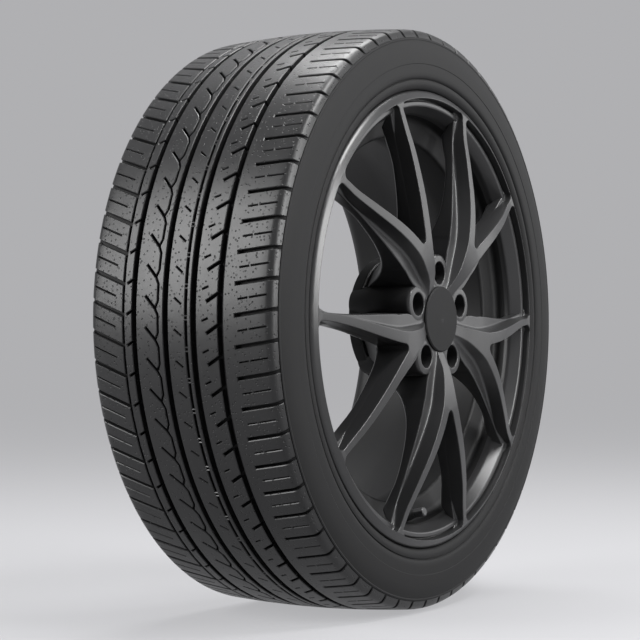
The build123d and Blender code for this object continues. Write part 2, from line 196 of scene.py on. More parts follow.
def mould_pits(material):
    """Scatter small round pits over a material: dots of painted shade with a dent."""
    tree = material.node_tree
    shader = tree.nodes["Principled BSDF"]
    place = tree.nodes.new("ShaderNodeTexCoord")
    dots = add_node(tree, "ShaderNodeTexVoronoi", Scale=pits_per_metre)
    pit = add_node(tree, "ShaderNodeMapRange", From_Min=pit_edge, From_Max=pit_middle)
    shade = add_node(tree, "ShaderNodeMix", data_type="RGBA", blend_type="MULTIPLY")
    shade.inputs["B"].default_value = pit_painted_shade
    dent = add_node(tree, "ShaderNodeBump", invert=True, Strength=pit_strength, Distance=pit_depth)
    join(tree,
         (place.outputs["Object"], dots.inputs["Vector"]),
         (dots.outputs["Distance"], pit.inputs["Value"]),
         (pit.outputs["Result"], shade.inputs["Factor"]),
         (pit.outputs["Result"], dent.inputs["Height"]),
         (shader.inputs["Base Color"].links[0].from_socket, shade.inputs["A"]),
         (shader.inputs["Normal"].links[0].from_socket, dent.inputs["Normal"]),
         (shade.outputs["Result"], shader.inputs["Base Color"]),
         (dent.outputs["Normal"], shader.inputs["Normal"]))


mould_pits(tread_rubber)
print("pits about", round(1000 / pits_per_metre, 1), "mm apart")

# %% [markdown]
# The wheel is sprayed in dark satin paint from the street side. Deep between the spokes the paint turns
# darker, as painted shade, and duller, and the barrel behind them is matt, its darker colour painted shade
# too. Painted masks would do it too, but the depth behind the face is all that matters here, so the paint
# fades along y.

# %% Wheel paint
fade_start, fade_end = -50.0 * MM, -24.0 * MM
# The deep colour is painted shade; the deep roughness is the duller paint.
painted_shade_colour, deep_roughness = grey(0.013), 0.55


def painted_shade_and_matt_behind(material):
    """Let a finish turn dark, as painted shade, and matt between two depths behind the wheel's face."""
    tree = material.node_tree
    shader = tree.nodes["Principled BSDF"]
    place = tree.nodes.new("ShaderNodeTexCoord")
    axes = tree.nodes.new("ShaderNodeSeparateXYZ")
    depth = add_node(tree, "ShaderNodeMapRange", interpolation_type="SMOOTHSTEP", From_Min=fade_start,
                     From_Max=fade_end)
    join(tree, (place.outputs["Object"], axes.inputs["Vector"]), (axes.outputs["Y"], depth.inputs["Value"]))
    for socket, kind, deep in (("Base Color", "RGBA", painted_shade_colour), ("Roughness", "FLOAT", deep_roughness)):
        fade = add_node(tree, "ShaderNodeMix", data_type=kind)
        fade.inputs["B"].default_value = deep
        join(tree,
             (depth.outputs["Result"], fade.inputs["Factor"]),
             (shader.inputs[socket].links[0].from_socket, fade.inputs["A"]),
             (fade.outputs["Result"], shader.inputs[socket]))


wheel_paint = uneven_material("wheel_paint", grey(0.019), grey(0.023), clouds=20.0, grain=2600.0,
                              roughness=0.29, spread=0.04, bump=0.05)
painted_shade_and_matt_behind(wheel_paint)
# The barrel's paint is darker than the wheel's: painted shade for the inside of the barrel, and matt.
barrel_painted_shade = uneven_material("barrel_painted_shade", grey(0.008), grey(0.011), clouds=20.0, grain=2600.0,
                               roughness=0.5, spread=0.05, bump=0.05, Specular_IOR_Level=0.22)
print("paint fades over", round((fade_end - fade_start) / MM), "mm of depth")

# %% [markdown]
# The small parts have finishes of their own: a dull plastic cap, a bright wire ring, and a valve of rubber,
# turned brass and plastic. Their solids have the right shape, so they stay, and only their material slots
# change.

# %% Finishes of the cap and the valve
cap_finish = uneven_material("cap_finish", grey(0.009), grey(0.011), clouds=40.0, grain=2200.0,
                             roughness=0.62, spread=0.05, bump=0.08, Specular_IOR_Level=0.16)
spring_wire = uneven_material("spring_wire", grey(0.5), grey(0.6), clouds=200.0, grain=3000.0,
                              roughness=0.3, spread=0.1, bump=0.05, Metallic=1.0)
valve_rubber = uneven_material("valve_rubber", grey(0.018), grey(0.026), clouds=300.0, grain=3000.0,
                               roughness=0.5, spread=0.1, bump=0.15)
turned_brass = uneven_material("turned_brass", (0.62, 0.46, 0.2, 1), (0.75, 0.58, 0.28, 1), clouds=300.0,
                               grain=3000.0, roughness=0.3, spread=0.1, bump=0.08, Metallic=1.0)
valve_cap_plastic = uneven_material("valve_cap_plastic", grey(0.028), grey(0.036), clouds=300.0, grain=2500.0,
                                    roughness=0.42, spread=0.08, bump=0.1)
small_parts = {"centre_cap": cap_finish, "cap_spring_ring": spring_wire, "valve_stem": valve_rubber,
               "valve_tube": turned_brass, "valve_core": turned_brass, "valve_cap": valve_cap_plastic,
               "valve_cap_seal": valve_rubber}
for node, material in small_parts.items():
    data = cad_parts[node].data
    data.materials.clear()
    data.materials.append(material)
print("finishes set on", len(small_parts), "solids")

# %% [markdown]
# A finished mesh is welded, its faces are turned outwards, and edges with a clear corner are kept sharp
# while the rest shade smoothly. Then it rides on the part's one body and hides the solid it stands for.
# On the wheel, large faces also pull the shading their way, which keeps broad surfaces flat beside
# small roundings.

# %% Finish a piece
sharp_degrees = 32
WELD = 0.01 * MM


def finish_piece(bm, name, material, finish_slot, *nodes, even=False):
    """Weld, face outwards, shade, and hand the mesh over as a piece of the object."""
    bmesh.ops.remove_doubles(bm, verts=bm.verts, dist=WELD)
    bmesh.ops.recalc_face_normals(bm, faces=bm.faces)
    for face in bm.faces:
        face.smooth = True
    for edge in bm.edges:
        edge.smooth = len(edge.link_faces) != 2 or edge.calc_face_angle() < radians(sharp_degrees)
    mesh = bpy.data.meshes.new(name)
    bm.to_mesh(mesh)
    bm.free()
    mesh.materials.append(material)
    piece = bpy.data.objects.new(name, mesh)
    bpy.context.scene.collection.objects.link(piece)
    if even:
        shading = piece.modifiers.new("even_shading", "WEIGHTED_NORMAL")
        shading.keep_sharp = True
    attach(piece, "root")
    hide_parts(*nodes)
    mesh.calc_loop_triangles()
    print(name, len(mesh.loop_triangles), "triangles")


print("corners over", sharp_degrees, "degrees stay sharp")

# %% [markdown]
# The tread is drawn flat, one pitch of the pattern at a time, as a maker of moulds would: along the
# tread, across it, and up. The section below says where a point across the tread lies on the real
# tyre: on a shallow crown, round the shoulder, and down to the edge at the top of the sidewall.

# %% Section of the tread
crown_radius = 1200.0
shoulder_start = 101.5
shoulder_bend = 10.0
shoulder_points = [(shoulder_start, 4.29), (107.0, 4.77), (109.1, 9.9)]
wall_top = (110.8, 14.1)


def section(across):
    """Place (y, radius) on the tread's surface and the outward direction there."""
    side = -1 if across < 0 else 1
    reach = abs(across)
    start, corner, end = [Vector(point) for point in shoulder_points]
    if reach <= shoulder_start:
        place = Vector((reach, reach * reach / (2 * crown_radius)))
        run = Vector((1, reach / crown_radius))
    elif reach <= shoulder_start + shoulder_bend:
        t = (reach - shoulder_start) / shoulder_bend
        place = start * (1 - t) ** 2 + corner * 2 * t * (1 - t) + end * t * t
        run = (corner - start) * (1 - t) + (end - corner) * t
    else:
        run = (Vector(wall_top) - end).normalized()
        place = end + run * (reach - shoulder_start - shoulder_bend)
    run.normalize()
    return Vector((side * place.x, tyre_radius - place.y)), Vector((side * run.y, run.x))


print("the shoulder starts at a radius of", round(section(shoulder_start)[0].y, 2), "mm")

# %% [markdown]
# The grooves are deep in the middle and run out over the shoulders. A flat block is bent around the tyre by
# moving each of its points: how far along gives the angle, how far across gives the place on the section,
# and the height is measured along the outward direction. A bend modifier could do one of these turns, but
# not both at once.

# %% Bend a flat block round the tyre
tread_edge = 116.0
floor_depths = [(0.0, 7.5), (62.0, 7.5), (70.0, 6.2), (96.0, 6.0), (106.0, 4.2), (112.0, 1.8),
                (tread_edge, 0.3)]
root_depth = 0.8


def floor_depth(across):
    """Depth of the grooves and slots below the tread's surface, on straight lines between the points."""
    reach = abs(across)
    for (x0, depth0), (x1, depth1) in zip(floor_depths, floor_depths[1:]):
        if reach <= x1:
            return depth0 + (depth1 - depth0) * (reach - x0) / (x1 - x0)
    return floor_depths[-1][1]


def wrap(bm):
    """Bend a flat block, drawn as (along, across, height) in millimetres, around the tyre, in metres."""
    for vert in bm.verts:
        along, across, height = vert.co
        place, out = section(across)
        height = max(height, -floor_depth(across) - root_depth)
        y, radius = place + out * height
        turn = along / tyre_radius
        vert.co = Vector((radius * sin(turn), rim_middle + y, radius * cos(turn))) * MM


print("grooves", floor_depth(0.0), "mm deep in the middle and", floor_depth(tread_edge), "mm at the edge")

# %% [markdown]
# One pitch of the pattern is repeated all the way round. Slots are drawn as four corners. A slot that opens
# through the edge of a rib is a notch in that edge instead of a hole, so its mouth is found where its two
# sides cross the edge.

# %% Slots, notches and edges
pitches = 64
pitch = 2 * pi * tyre_radius / pitches


def slot(start, end, width):
    """Corners of a straight slot between two (along, across) points."""
    a, b = Vector(start), Vector(end)
    side = (b - a).orthogonal().normalized() * width / 2
    return [a + side, b + side, b - side, a - side]


def notch(start, end, width, edge):
    """Corners of a slot that opens through a rib's edge, in order along the edge."""
    near_a, far_a, far_b, near_b = slot(start, end, width)
    mouth_a, mouth_b = [near.lerp(far, (edge - near.y) / (far.y - near.y))
                        for near, far in ((near_a, far_a), (near_b, far_b))]
    corners = [mouth_a, far_a, far_b, mouth_b]
    return corners if mouth_a.x < mouth_b.x else corners[::-1]


def straight(start, across):
    """Plain edge of a rib over one pitch."""
    return [Vector((start, across)), Vector((start + pitch, across))]


def edge_with(start, across, corners):
    """Edge of a rib over one pitch, with the corners of a notch in it."""
    first, last = straight(start, across)
    return [first, *corners, last]


print("one pitch is", round(pitch, 2), "mm long")

# %% [markdown]
# Each rib of the tread is a flat block with its slots cut out: an outline and some holes are filled,
# pushed down to a block, and the top edges get a small bevel that catches the light. Cuts along and
# across let the block bend. The alternative, a fine grid pushed down by a pattern, would have soft
# edges and many more faces.

# %% Flat block of a rib
rib_height = 9.0
ON_LINE = 1e-4


def flat_block(loops):
    """Block under an outline with holes, given as closed loops of (along, across) points."""
    bm = bmesh.new()
    edges = []
    for loop in loops:
        verts = [bm.verts.new((*point, 0)) for point in loop]
        edges += [bm.edges.new(pair) for pair in zip(verts, verts[1:] + verts[:1])]
    bmesh.ops.triangle_fill(bm, use_beauty=True, use_dissolve=False, edges=edges)
    made = bmesh.ops.extrude_face_region(bm, geom=bm.faces[:])
    sunk = [item for item in made["geom"] if isinstance(item, bmesh.types.BMVert)]
    bmesh.ops.translate(bm, verts=sunk, vec=(0, 0, -rib_height))
    bmesh.ops.recalc_face_normals(bm, faces=bm.faces)
    return bm


def open_end(bm, along):
    """Delete the wall where a block meets the block of the next pitch."""
    walls = [face for face in bm.faces if all(abs(vert.co.x - along) < ON_LINE for vert in face.verts)]
    bmesh.ops.delete(bm, geom=walls, context="FACES_ONLY")


print("blocks", rib_height, "mm high before they are set into the tyre's body")

# %% [markdown]
# A moulded edge is never knife sharp. The bevel takes only the rims, where the top meets a wall, and leaves
# the triangles of the top alone. A Bevel modifier set to an angle would take the upright corners and the
# hidden bottom as well.

# %% Bevelled rims
edge_bevel = 0.7
LEVEL, STEEP = 0.9, 0.5


def is_rim(edge):
    """True where an edge lies between the block's top and one of its walls."""
    tilts = [face.normal.z for face in edge.link_faces]
    return len(tilts) == 2 and max(tilts) > LEVEL and min(tilts) < STEEP


def bevel_rims(bm, edges, width):
    """Flat bevel of a block's rims."""
    bmesh.ops.bevel(bm, geom=edges, offset=width, segments=1, profile=0.5, affect="EDGES", material=-1)


print("rims bevelled by", edge_bevel, "mm")

# %% [markdown]
# So a rib is made in four steps: its block, the open ends, the bevels and the cuts. The inner edge of the
# street-side shoulder has a broad bevel before the small one, and is chosen by its place across the tread.

# %% One pitch of a rib
cuts_along = 4
CUT_SNAP = 0.001


def rib_block(left, right, holes, cuts_across, wide_bevel=0.0):
    """Block between two edges, each a list of points along the tread, with its slots cut out."""
    bm = flat_block([list(left) + list(right)[::-1], *holes])
    start, end = left[0][0], left[-1][0]
    open_end(bm, start)
    open_end(bm, end)
    if wide_bevel:
        inner = right[0][1]
        inner_rims = [edge for edge in bm.edges if is_rim(edge)
                      and all(abs(vert.co.y - inner) < ON_LINE for vert in edge.verts)]
        bevel_rims(bm, inner_rims, wide_bevel)
        bm.normal_update()
    bevel_rims(bm, [edge for edge in bm.edges if is_rim(edge)], edge_bevel)
    planes = [((start + (end - start) * k / cuts_along, 0, 0), (1, 0, 0)) for k in range(1, cuts_along)]
    planes += [((0, across, 0), (0, 1, 0)) for across in cuts_across]
    for place, normal in planes:
        everything = bm.verts[:] + bm.edges[:] + bm.faces[:]
        bmesh.ops.bisect_plane(bm, geom=everything, dist=CUT_SNAP, plane_co=place, plane_no=normal)
    return bm


print("each pitch is cut into", cuts_along, "to bend")

# %% [markdown]
# The finished pitch is bent round the tyre and copied all the way round by a spin that duplicates. An Array
# modifier with a turned empty would do the same, but then the mesh would not be whole until it is applied.

# %% Repeat a rib
def copied_round(bm, count):
    """Copy all of a mesh around the axle, count times in all."""
    everything = bm.verts[:] + bm.edges[:] + bm.faces[:]
    bmesh.ops.spin(bm, geom=everything, cent=(0, 0, 0), axis=(0, 1, 0), angle=2 * pi * (count - 1) / count,
                   steps=count - 1, use_duplicate=True)


def finish_rib(bm, name):
    """Bend one pitch of a rib round the tyre, repeat it and hand it over."""
    wrap(bm)
    copied_round(bm, pitches)
    finish_piece(bm, name, tread_rubber, "tyre_rubber", "tyre")


print("each rib has", pitches, "pitches")

# %% [markdown]
# The street-side shoulder has wide slots that run out over its edge, with two thin cuts in line between
# each pair. Its inner edge has a broad bevel down to the first groove. The shoulder bends most of all the
# ribs, so it has the most cuts across.

# %% Street-side shoulder
wide_slot = 3.5
thin_cut = 1.1
broad_bevel = 2.4
shoulder_cuts = [75.0, 85.0, 94.0, shoulder_start, 104.0, 106.5, 109.0, 111.5]
street_seam = -8.0
street_inner = -53.3
slot_inner, slot_outer = (0.0, -68.0), (6.6, -116.5)
street_lean = (slot_outer[0] - slot_inner[0]) / (slot_inner[1] - slot_outer[1])


def street_thin(*reaches):
    """Thin cut halfway between two wide slots, from one place across the tread to another."""
    ends = [(pitch / 2 - street_lean * (across - slot_inner[1]), across) for across in reaches]
    return slot(*ends, thin_cut)


thin_cuts = [street_thin(-103.0, -84.5), street_thin(-82.0, -72.0)]
street_edge = edge_with(street_seam, -tread_edge, notch(slot_outer, slot_inner, wide_slot, -tread_edge))
street_shoulder = rib_block(street_edge, straight(street_seam, street_inner), thin_cuts,
                            [-across for across in shoulder_cuts], wide_bevel=broad_bevel)
finish_rib(street_shoulder, "tread_street_shoulder")

# %% [markdown]
# Next to it, beyond the first deep groove, lies a rib with a slanting slot from that groove and a short cut
# beside it. The rib in the middle has a broken thin groove, a long dash and a dot in each pitch, and a short
# slanting cut. Both are drawn with the same few helpers.

# %% Slotted rib and dashed rib
short_cut = 1.4
rib_seam, rib_left, rib_right = 2.0, -48.7, -23.7
rib_slot = notch((23.5, -52.0), (14.0, -36.0), wide_slot - 0.3, rib_left)
rib_cut = slot((28.8, -37.5), (26.3, -31.0), short_cut)
slotted_rib = rib_block(edge_with(rib_seam, rib_left, rib_slot), straight(rib_seam, rib_right), [rib_cut],
                        [-36.0, -30.0])
finish_rib(slotted_rib, "tread_slotted_rib")

dash_left, dash_line, dash_right = -17.3, -11.8, 10.0
dash = slot((1.0, dash_line), (26.6, dash_line), 2.8)
dot = slot((28.4, dash_line), (30.6, dash_line), 2.6)
slanting_cut = slot((12.0, -6.0), (18.0, 1.8), short_cut)
dashed_rib = rib_block(straight(0.0, dash_left), straight(0.0, dash_right), [dash, dot, slanting_cut],
                       [-5.0, 4.0])
finish_rib(dashed_rib, "tread_dashed_rib")

# %% [markdown]
# The third rib is split by a bent thin groove, with a hooked slot at each bend. So it is two blocks: a
# narrow one whose edge follows the groove, and a wider one whose edge follows it too and turns in to the
# hook.

# %% Narrow rib and hooked rib
bend_seam = -3.0
bend_across = 22.0
narrow_left, hooked_right = 16.0, 49.1
bend_top = (8.0, 25.3)
groove_half = 1.0
bent_groove = [(bend_seam, bend_across), (0.7, bend_across), bend_top, (15.0, bend_across),
               (pitch + bend_seam, bend_across)]
near_side = [Vector((along, across - groove_half)) for along, across in bent_groove]
far_side = [Vector((along, across + groove_half)) for along, across in bent_groove]
narrow_rib = rib_block(straight(bend_seam, narrow_left), near_side, [], [])
finish_rib(narrow_rib, "tread_narrow_rib")

hook = slot(bend_top, (20.5, 37.5), 2.3)
hook_mouth = [far_side[2] + Vector((-0.9, 0)), far_side[2] + Vector((1.9, -0.7))]
hooked_edge = [*far_side[:2], hook_mouth[0], hook[1], hook[2], hook_mouth[1], *far_side[3:]]
hooked_rib = rib_block(hooked_edge, straight(bend_seam, hooked_right), [], [33.0, 41.0])
finish_rib(hooked_rib, "tread_hooked_rib")

# %% [markdown]
# On the car side a narrow rib with slanting notches leads to a shoulder of separate blocks, parted by
# slots that run from the last groove out over the edge. A block leans like its slots, so all four of its
# corners lie on leaning lines.

# %% Car-side rib and shoulder blocks
notch_seam, notch_left, notch_right = -10.0, 54.9, 64.3
side_notch = notch((7.2, 52.0), (2.2, 61.0), 2.4, notch_left)
notched_edge = edge_with(notch_seam, notch_left, side_notch)
notched_rib = rib_block(notched_edge, straight(notch_seam, notch_right), [], [])
finish_rib(notched_rib, "tread_notched_rib")

car_lean = 19.0 / 50.0
car_inner = 66.7
car_seam = 2.0
block_room = wide_slot / 2 * (1 + car_lean**2) ** 0.5
block_ends = [car_seam + block_room, car_seam + pitch - block_room]


def car_line(along, across):
    """Point on a line that leans like the car-side slots."""
    return Vector((along + car_lean * (across - car_inner), across))


block_left = [car_line(end, car_inner) for end in block_ends]
block_right = [car_line(end, tread_edge) for end in block_ends]
middle_cut = slot(*[car_line(car_seam + pitch / 2, across) for across in (76.0, 104.0)], thin_cut)
car_shoulder = rib_block(block_left, block_right, [middle_cut], shoulder_cuts)
finish_rib(car_shoulder, "tread_car_shoulder")

# %% [markdown]
# Under the ribs lies the tyre's body: the floor of the grooves, two sidewalls with their raised rings,
# the beads that sit on the rim and the lining inside. Its outline is drawn for one side as (radius, y) points
# from the middle of the rim, and the other side mirrors it.

# %% Outline of the tyre
crown_thickness = 17.0
floor_line = [-tread_edge, -112.0, -106.0, -101.0, -96.0, -70.0, -62.0, -40.0, 0.0]
floor_line += [-across for across in floor_line[-2::-1]]
wall = [(304.6, 111.3), (303.2, 111.9), (302.0, 111.6), (297.0, 113.3), (289.0, 114.7), (281.0, 115.3),
        (277.0, 115.4), (276.4, 115.0), (268.0, 115.4), (264.5, 115.2), (262.4, 114.7), (261.2, 113.9),
        (260.5, 112.5), (259.9, 112.4), (259.3, 113.4), (257.6, 113.9), (254.6, 113.8), (251.4, 112.6),
        (249.6, 111.0), (248.6, 109.0)]
bead = [(248.55, 107.0), (242.9, 101.3), (234.6, 101.3), (231.1, 97.6), (229.6, 81.6)]
lining = [(245.0, 89.6), (262.3, 103.0), (286.6, 103.5), (295.6, 92.0), (300.0, 78.0)]


def groove_floor(across):
    """Place (radius, y) on the floor of the grooves."""
    place, out = section(across)
    y, radius = place - out * floor_depth(across)
    return radius, y


half = wall + bead + lining
outline = [groove_floor(across) for across in floor_line] + half
outline += [(tyre_radius - crown_thickness, 0.0)]
outline += [(radius, -y) for radius, y in half[::-1]]
print("the tyre's outline has", len(outline), "points")

# %% [markdown]
# The body is round all over, so its outline is spun about the axle. A Screw modifier could turn it too, but
# the operator makes the mesh at once and closes the seam.

# %% Body of the tyre
tyre_steps = 180


def spun(points, steps, centre=(0, 0, 0)):
    """Full turn, about the axle or a line beside it, of a closed outline of (radius, y) millimetres."""
    bm = bmesh.new()
    middle = Vector(centre) * MM
    verts = [bm.verts.new(middle + Vector((0, y, radius)) * MM) for radius, y in points]
    edges = [bm.edges.new(pair) for pair in zip(verts, verts[1:] + verts[:1])]
    bmesh.ops.spin(bm, geom=verts + edges, cent=middle, axis=(0, 1, 0), angle=2 * pi, steps=steps,
                   use_merge=True)
    return bm


body = spun([(radius, rim_middle + y) for radius, y in outline], tyre_steps)
finish_piece(body, "tyre_body", wall_rubber, "tyre_rubber", "tyre")

# %% [markdown]
# The wheel is one casting. A cast corner is never sharp, so every outline of the wheel has its corners
# rounded first: each corner becomes a short curve between its two sides. Bevelling the finished mesh would
# also do it, but a bevel has to be the same along an edge, and here the ledges run out to nothing.

# %% Rounded outlines
MOST_OF_SIDE = 0.45


def rounded(corners, steps=3):
    """Closed outline whose (across, y, rounding) corners are replaced by short curves."""
    points = []
    for before, corner, after in zip(corners[-1:] + corners[:-1], corners, corners[1:] + corners[:1]):
        here = Vector(corner[:2])
        sides = [Vector(other[:2]) - here for other in (before, after)]
        start, end = [here + side.normalized() * min(corner[2], MOST_OF_SIDE * side.length) for side in sides]
        for k in range(steps + 1):
            t = k / steps
            points.append(start * (1 - t) ** 2 + here * 2 * t * (1 - t) + end * t * t)
    return points


print("a rounded square has", len(rounded([(0, 0, 1), (9, 0, 1), (9, 9, 1), (0, 9, 1)])), "points")

# %% [markdown]
# The rim's street side shows a sloped lip with a rounded bead at its edge, a narrow gap inside it and a lower
# ring. It is turned, from an outline of (radius, y, rounding) corners. The outline ends at a line behind the
# ring, so that the lip has satin paint and the barrel behind it the matt one, darkened as painted shade.

# %% Lip
flange_radius = 248.3
lip_radius = 243.0
seat_radius = 230.7
band_inside = 239.6
lip_front, lip_back = -67.0, 163.0
band_front = lip_front - 2.0
bead_front = lip_front + 3.0
ring_front = lip_front + 4.6
ring_inside, ring_outside = 231.6, 236.6
gap_floor = lip_front + 9.0
gap_draft = 0.8
rim_front, rim_back = -53.6, 149.6
# Behind this line the barrel's darker paint, painted shade, begins.
barrel_shade_line = -44.0
seat_cut = (230.2, barrel_shade_line, 0.0)
inner_cut = (223.4, barrel_shade_line, 0.0)
lip = [
    (flange_radius, bead_front, 4.5), (flange_radius, rim_front - 3.0, 2.0), (lip_radius, rim_front, 1.5),
    (seat_radius + 3.8, rim_front, 1.5), (seat_radius, rim_front + 3.5, 1.0), seat_cut, inner_cut,
    (223.7, -50.1, 3.0), (ring_inside, ring_front, 1.6), (ring_outside, ring_front, 1.4),
    (ring_outside + gap_draft, gap_floor, 0.6), (band_inside - gap_draft, gap_floor, 0.6),
    (band_inside, band_front, 1.0),
]


def finish_turned(outline, name, paint, rim_steps=192, corner_steps=5):
    """Turn a rounded outline of the rim about the axle and hand it over."""
    turned = spun(rounded(outline, corner_steps), rim_steps)
    finish_piece(turned, name, paint, "wheel_paint", "alloy_wheel", even=True)


finish_turned(lip, "wheel_lip", wheel_paint)

# %% [markdown]
# The barrel carries the tyre: the seats for its beads, with a low hump beside each, the drop well that lets
# the tyre be fitted, and the flange on the car side. Its inside is plain. It is one more turned outline, from
# the line where its painted shade starts, along the outside to the car side and back along the inside.

# %% Barrel
well_radius = 205.0
rim_wall = 5.5
outside = [
    seat_cut, (229.2, -32.6, 1.0), (228.2, -26.3, 1.5), (well_radius, -21.4, 4.0), (well_radius, 14.6, 4.0),
    (224.0, 71.6, 10.0), (228.2, 121.1, 1.0), (229.2, 128.6, 1.0), (seat_radius, rim_back - 3.5, 1.0),
    (seat_radius + 3.8, rim_back, 1.5), (lip_radius, rim_back, 1.5), (flange_radius, rim_back + 5.6, 2.0),
    (flange_radius, lip_back, 1.6),
]
inside = [
    (lip_radius, lip_back, 1.6), (232.2, 157.4, 4.0), (223.7, 148.4, 6.0), (222.7, 126.1, 8.0),
    (218.5, 71.6, 15.0), (well_radius - rim_wall, 14.6, 10.0), (well_radius - rim_wall, -27.0, 4.0),
    (222.7, -32.0, 6.0), inner_cut,
]
# The barrel's darker colour is painted shade.
finish_turned(outside + inside, "wheel_barrel", barrel_painted_shade)

# %% [markdown]
# A spoke is a Y: a stem that leaves the hub between two bolts and parts into two arms that swing out to the
# lip. Its raised face is narrow, and a lower ledge runs along its outer sides. Face, ledge and back are
# three smooth lines of (radius, y) from the hub out to the rim, drawn as smooth curves through a few points.

# %% Lines of a spoke
face_line = [(28.0, -74.0), (36.0, -76.9), (46.0, -81.4), (56.0, -85.2), (70.0, -87.8), (100.0, -90.0),
             (140.0, -87.6), (185.0, -79.6), (210.0, -73.6), (226.0, -70.3), (233.5, -69.4),
             (band_inside, -69.05), (band_inside + 2.0, -67.5), (band_inside + 4.5, -65.9), (252.0, -63.0)]
ledge_line = [(28.0, -76.0), (68.5, -75.6), (110.0, -75.0), (175.0, -65.5), (200.0, -61.0), (212.0, -60.0),
              (224.0, -60.8), (231.0, -61.6), (243.0, -62.0), (250.0, -62.0)]
back_line = [(28.0, -6.0), (57.6, -9.8), (88.0, -42.0), (120.0, -56.0), (175.0, -55.0), (221.0, -45.0),
             (230.0, -56.0), (243.0, -60.0), (250.0, -60.0)]


def smooth_between(table, x):
    """Value at x on a smooth curve through (x, value) points."""
    last = len(table) - 1
    k = max(1, next((n for n, (at, _) in enumerate(table) if at >= x), last))
    (x0, v0), (x1, v1) = table[k - 1], table[k]

    def slope(n):
        (xa, va), (xb, vb) = table[max(n - 1, 0)], table[min(n + 1, last)]
        return (vb - va) / (xb - xa) * (x1 - x0)

    t = min(max((x - x0) / (x1 - x0), 0.0), 1.0)
    curve = v0 * (1 + 2 * t) * (1 - t) ** 2 + v1 * t * t * (3 - 2 * t)
    return curve + slope(k - 1) * t * (1 - t) ** 2 - slope(k) * t * t * (1 - t)


crotch = 100.0
face_there, back_there = [smooth_between(line, crotch) for line in (face_line, back_line)]
print("a spoke is", round(back_there - face_there, 1), "mm deep where its arms part")

# %% [markdown]
# Seen from the street, an arm follows one bent line: it leaves the stem at a small angle and swings out to
# the rim. Its face gets slimmer on the way and ends in a fillet at the lip. The ledges are widest around the
# fork, run out to nothing along the arms, and small feet widen the arms again where they meet the ring.

# %% Plan of an arm
arm_end = 236.0
arm_spread, arm_start, arm_bend = 18.0, 6.3, 1.9
root_width, tip_width = 13.0, 7.5
fillet = 8.0
ledge_widths = [(36.0, 8.0), (50.0, 9.5), (62.0, 13.0), (72.0, 14.5), (107.0, 13.5), (145.0, 8.0),
                (178.0, 3.0), (200.0, 1.2), (213.0, 1.3), (221.0, 3.2), (228.0, 5.0), (250.0, 5.5)]
inner_feet = [(36.0, 0.1), (200.0, 0.1), (213.0, 0.3), (221.0, 3.0), (228.0, 5.0), (250.0, 5.5)]
wall_drafts = [(36.0, 2.0), (64.0, 3.5), (122.0, 4.0), (178.0, 2.0), (205.0, 1.2), (250.0, 1.2)]


def arm_share(radius):
    """1 where the arms part, falling to 0 at the rim."""
    return max(0.0, (arm_end - radius) / (arm_end - crotch))


def arm_middle(radius):
    """Point on an arm's middle line, in the plane of the wheel, with the spoke's own line along x."""
    angle = radians(arm_spread - (arm_spread - arm_start) * arm_share(radius) ** arm_bend)
    return Vector((radius * cos(angle), radius * sin(angle)))


def arm_half_width(radius):
    """Half of the face's width, slimmer towards the rim, with a fillet where it meets the lip."""
    slim = tip_width + (root_width - tip_width) * arm_share(radius)
    into_fillet = min(max(radius - band_inside + fillet, 0.0), fillet)
    return slim / 2 + fillet - (fillet**2 - into_fillet**2) ** 0.5


print("an arm's face is", round(2 * arm_half_width(crotch), 1), "mm wide where it starts")

# %% [markdown]
# Half of a spoke is a skin over sections, each taken square across the face. A section knows its inner and
# outer edge and the way that leads out of the metal there. Its corners are the back, the ledge, the foot and
# the face, each rounded as far as a casting would be. In the stem the inner edge is the middle line itself,
# with no wall.

# %% One section of a spoke
edge_rounding, ledge_rounding, foot_rounding, back_rounding = 0.9, 1.6, 2.6, 4.0
side_draft = 1.2


def spoke_section(inner, inner_way, outer, outer_way):
    """Points (along, across, y) of one rounded section of half a spoke."""
    width = (outer - inner).length
    foot = width + smooth_between(wall_drafts, outer.length)
    brink = foot + smooth_between(ledge_widths, outer.length)

    def plan(at):
        return inner - inner_way * at if at < width / 2 else outer + outer_way * (at - width)

    def corner(at, line, rounding):
        return at, smooth_between(line, plan(at).length), rounding

    free = inner_way.length
    inside = side_draft + smooth_between(inner_feet, inner.length)
    corners = [
        corner(-(inside + side_draft) * free, back_line, back_rounding * free),
        corner(-inside * free, ledge_line, ledge_rounding * free),
        corner(-side_draft * free, ledge_line, ledge_rounding * free),
        corner(0.0, face_line, edge_rounding * free),
        corner(width, face_line, edge_rounding),
        corner(foot, ledge_line, foot_rounding),
        corner(brink, ledge_line, ledge_rounding),
        corner(brink + side_draft, back_line, back_rounding),
    ]
    return [(*plan(at), y) for at, y in rounded(corners)]


print("corners of a spoke are rounded by", edge_rounding, "to", back_rounding, "mm")

# %% [markdown]
# The stem's sections stand square to the spoke's own line. An arm is bent, so its sections stand square to
# its middle line, whose direction is found from a point a little before and a point a little after.

# %% Sections of the stem and of an arm
little = 0.5


def stem_section(along, half_width):
    """Section of the stem, from its middle line to its outer side."""
    return spoke_section(Vector((along, 0)), Vector((0, 0)), Vector((along, half_width)), Vector((0, 1)))


def arm_section(radius):
    """Section of one arm, square to its middle line."""
    middle = arm_middle(radius)
    out = (arm_middle(radius + little) - arm_middle(radius - little)).orthogonal().normalized()
    half = arm_half_width(radius)
    return spoke_section(middle - out * half, -out, middle + out * half, out)


print("a section has", len(arm_section(crotch)), "points")

# %% [markdown]
# The sections follow one another from the cap to the rim: along the stem, two that turn round the tip of the
# fork, and along the arm. They lie closer together where the shape changes quickly, at the fork and in the
# fillet.

